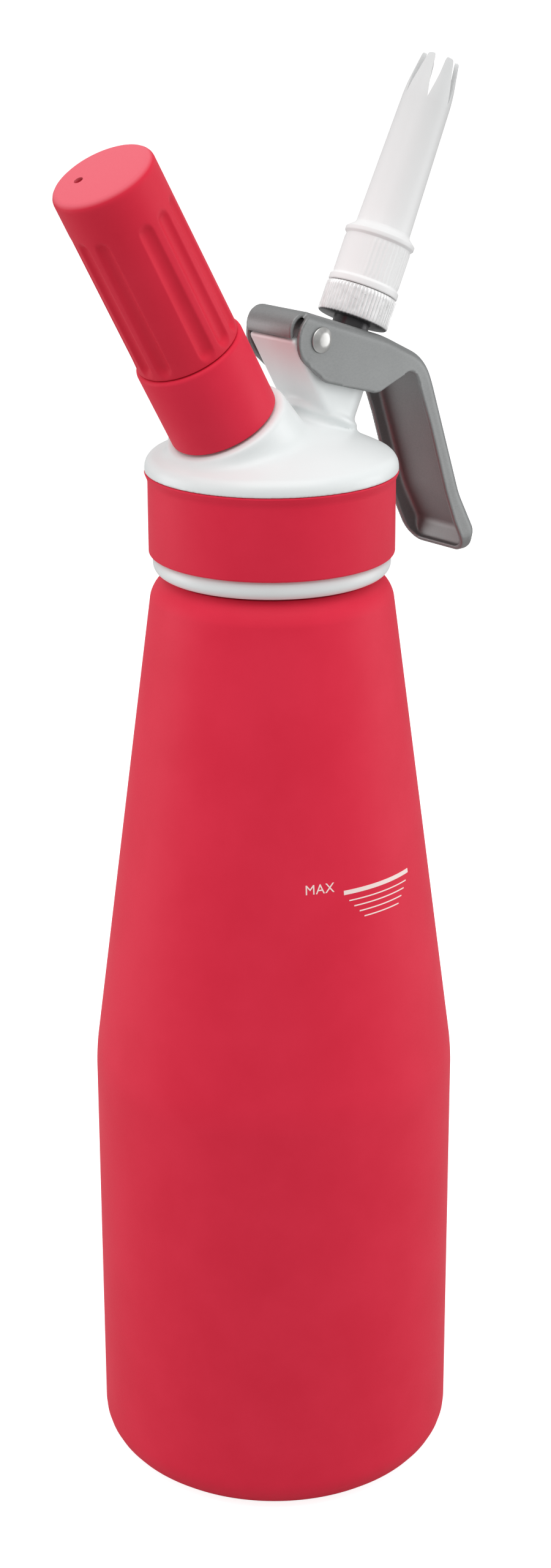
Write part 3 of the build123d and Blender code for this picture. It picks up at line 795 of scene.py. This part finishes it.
# %% The tip
rib_count, rib_rise, rib_low, rib_high = 44, 0.17, 47.6, 57.6
rib_sides, rib_spread = (radians(-95), radians(85)), radians(52)
bead, skirt, mouth = 9.05, 8.45, 106.0
section = half_section(
    [
        (7.3, 46.2),
        (8.0, 46.2),
        (8.0, 45.4),
        (bead, 45.4, 0.3),
        (bead, 46.9, 0.4),
        (skirt, 47.5, 0.3),
        (skirt, 57.7, 0.3),
        (bead, 58.3, 0.4),
        (bead, 59.3, 0.4),
        (7.05, 61.0, 1.2),
        (6.2, 97.0, 40),
        (4.75, mouth, 0.5),
        (3.65, mouth),
        (5.1, 97.0, 40),
        (5.95, 61.0),
        (7.3, 57.5),
    ]
)
cut_finer(section, 47.5, 57.8, 0.8)
cut_finer(section, 61.0, 105.9, 4.0)
tip = spin_round(section, rib_count * 8)
for vert in tip.verts:
    radius, around = hypot(vert.co.x, vert.co.y), atan2(vert.co.y, vert.co.x)
    if skirt - 0.05 < radius < skirt + 0.05 and rib_low < vert.co.z < rib_high:
        off = min(abs((around - side + pi) % (2 * pi) - pi) for side in rib_sides)
        fade = min(1, max(0, (rib_spread - off) / radians(4)))
        fade *= min(1, (vert.co.z - rib_low) / 0.5, (rib_high - vert.co.z) / 0.5)
        vert.co.xy *= 1 + rib_rise * fade * (0.5 + 0.5 * cos(rib_count * around)) / radius

slit_count, slit_first, slit_inner, slit_reach = 6, -135.0, 3.2, 5.0
# One side of a slit: half its width, and the height over the mouth.
half_slit = [
    (0, -11.1),
    (0.2, -10.0),
    (0.42, -8.7),
    (0.66, -7.4),
    (1.05, -4.7),
    (1.2, -2.6),
    (1.3, -1.2),
    (1.42, -0.5),
    (1.6, -0.15),
    (1.8, 0.02),
    (1.8, 0.6),
]
slit_outline = half_slit + [(-across, up) for across, up in reversed(half_slit[1:])]
wedges = bmesh.new()
for slit in range(slit_count):
    turn = Matrix.Rotation(radians(slit_first + slit * 360 / slit_count), 4, "Z")
    corners = [
        wedges.verts.new(turn @ Vector((slit_inner, across, mouth + up)))
        for across, up in slit_outline
    ]
    sheet = wedges.faces.new(corners)
    pushed = bmesh.ops.extrude_face_region(wedges, geom=[sheet])["geom"]
    bmesh.ops.translate(
        wedges,
        vec=turn @ Vector((slit_reach, 0, 0)),
        verts=[item for item in pushed if isinstance(item, bmesh.types.BMVert)],
    )
finished(carved(tip, wedges), "tip", "tip", tip_white, stem_axis, "decorator_tip", sharp=50)

# %% [markdown]
# The lever is pressed from one sheet. Relaxing its remeshed copy rolls the sheet's edges by a
# tenth or two, as tumbling does. The rivet's heads are low domes.

# %% The lever and its rivet
lever = relaxed(cad_copy("lever"), voxel=0.3, passes=20)
finished(lever, "lever_plate", "lever", lever_steel, node="lever", sharp=60)

rivet_half = [(0, 11.2), (1.76, 11.1, 2), (3.2, 10.4, 0.3), (3.2, 10.05), (2.5, 10.05)]
rivet_profile = rivet_half + [(out, -up, *bend) for out, up, *bend in reversed(rivet_half)]
turned("rivet", rivet_profile, "head", rivet_steel, rivet_axis, "lever_pin", steps=96, sharp=40)

# %% [markdown]
# What is inside needs no new shape. It stays as the CAD draws it, and only gets its finish.

# %% The inner pieces
as_drawn = {
    "bottle": bottle_steel,
    "head_gasket": seal_grey,
    "charger_boss": plated_brass,
    "piercing_pin": stem_steel,
    "non_return_valve": seal_black,
    "charger_seal": seal_black,
    "gas_charger": charger_steel,
    "charger_holder": liner_metal,
    "valve_stem": stem_steel,
    "valve_seal": seal_black,
    "stem_o_ring": seal_black,
}
for node, finish in as_drawn.items():
    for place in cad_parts[node].material_slots:
        place.material = finish
print(len(as_drawn), "CAD pieces got a finish")

# %% [markdown]
# The camera stands 790 mm off, a little above the lever, and looks down by twenty degrees
# through a long lens. Its place, turn and lens are stated as numbers.

# %% The camera
camera_data = bpy.data.cameras.new("camera")
camera_data.lens, camera_data.sensor_width = 61.4, 36.0
camera_data.clip_start, camera_data.clip_end = 0.05, 60.0
camera = bpy.data.objects.new("camera", camera_data)
bpy.context.scene.collection.objects.link(camera)
bpy.context.scene.camera = camera
camera_place = (-0.4281, -0.4924, 0.4278)
heading, yaw, pitch, roll = (radians(v) for v in (-41.0, 0.067, 19.95, -0.193))
side = Vector((cos(heading), sin(heading), 0))
ahead = Vector((-sin(heading), cos(heading), 0))
sight = (side * sin(yaw) + ahead * cos(yaw)) * cos(pitch) - Vector((0, 0, sin(pitch)))
level = side * cos(yaw) - ahead * sin(yaw)
above = level.cross(sight)
right = level * cos(roll) + above * sin(roll)
above = above * cos(roll) - level * sin(roll)
camera_turn = Matrix((right, above, -sight)).transposed().to_4x4()
camera.matrix_world = Matrix.Translation(camera_place) @ camera_turn

# %% [markdown]
# The light is a bright, even room with a panel on each side and one overhead, so that the
# object's sides and shoulders are lighter than its middle. A faint one at the back lifts the
# edges. The floor and the room are brighter to the camera than to the object.

# %% Light, floor and room
scene = bpy.context.scene
scene.view_settings.view_transform = "Standard"


def panel(name, place, target, width, height, watts):
    """A flat area light that faces a point."""
    lamp = bpy.data.lights.new(name, "AREA")
    lamp.shape, lamp.size, lamp.size_y, lamp.energy = "RECTANGLE", width, height, watts
    item = bpy.data.objects.new(name, lamp)
    scene.collection.objects.link(item)
    item.location = place
    item.rotation_mode = "QUATERNION"
    item.rotation_quaternion = (Vector(target) - Vector(place)).to_track_quat("-Z", "Y")


middle = Vector((0, 0, 0.19))
for name, place, width, height, watts in (
    ("panel_left", ahead * 0.1 - side * 0.8, 0.5, 0.6, 2.1),
    ("panel_right", ahead * 0.1 + side * 0.8, 0.5, 0.6, 2.1),
    ("panel_over", side * 0.05 - ahead * 0.35 + Vector((0, 0, 0.75)), 0.9, 0.6, 3.4),
    ("panel_back", ahead * 0.5 - side * 0.4 + Vector((0, 0, 0.8)), 0.8, 0.6, 0.8),
):
    panel(name, middle + place, middle, width, height, watts)

floor_shape = bmesh.new()
bmesh.ops.create_grid(floor_shape, x_segments=1, y_segments=1, size=12)
floor_mesh = bpy.data.meshes.new("floor")
floor_shape.to_mesh(floor_mesh)
floor_shape.free()
paper = Finish("paper", Roughness=0.9, Specular_IOR_Level=0.1)
paper.set("Base Color", (0.6, 0.6, 0.6, 1.0))
seen_only = paper.node("ShaderNodeLightPath").out("Is Camera Ray")
paper.set("Emission Color", paper.blend(seen_only, (0, 0, 0, 1), (1, 1, 1, 1)))
paper.set("Emission Strength", 0.85)
floor_mesh.materials.append(paper.material)
floor = bpy.data.objects.new("floor", floor_mesh)
floor.location = (0, 0, -0.0001)
scene.collection.objects.link(floor)

world = bpy.data.worlds.new("room")
scene.world = world
world.use_nodes = True
room = world.node_tree
room.nodes.clear()
seen, unseen = room.nodes.new("ShaderNodeBackground"), room.nodes.new("ShaderNodeBackground")
seen.inputs["Color"].default_value = unseen.inputs["Color"].default_value = (1, 1, 1, 1)
seen.inputs["Strength"].default_value, unseen.inputs["Strength"].default_value = 1.0, 0.61
path, choice = room.nodes.new("ShaderNodeLightPath"), room.nodes.new("ShaderNodeMixShader")
out = room.nodes.new("ShaderNodeOutputWorld")
room.links.new(path.outputs["Is Camera Ray"], choice.inputs["Fac"])
room.links.new(unseen.outputs[0], choice.inputs[1])
room.links.new(seen.outputs[0], choice.inputs[2])
room.links.new(choice.outputs[0], out.inputs["Surface"])
print("camera and light are set")
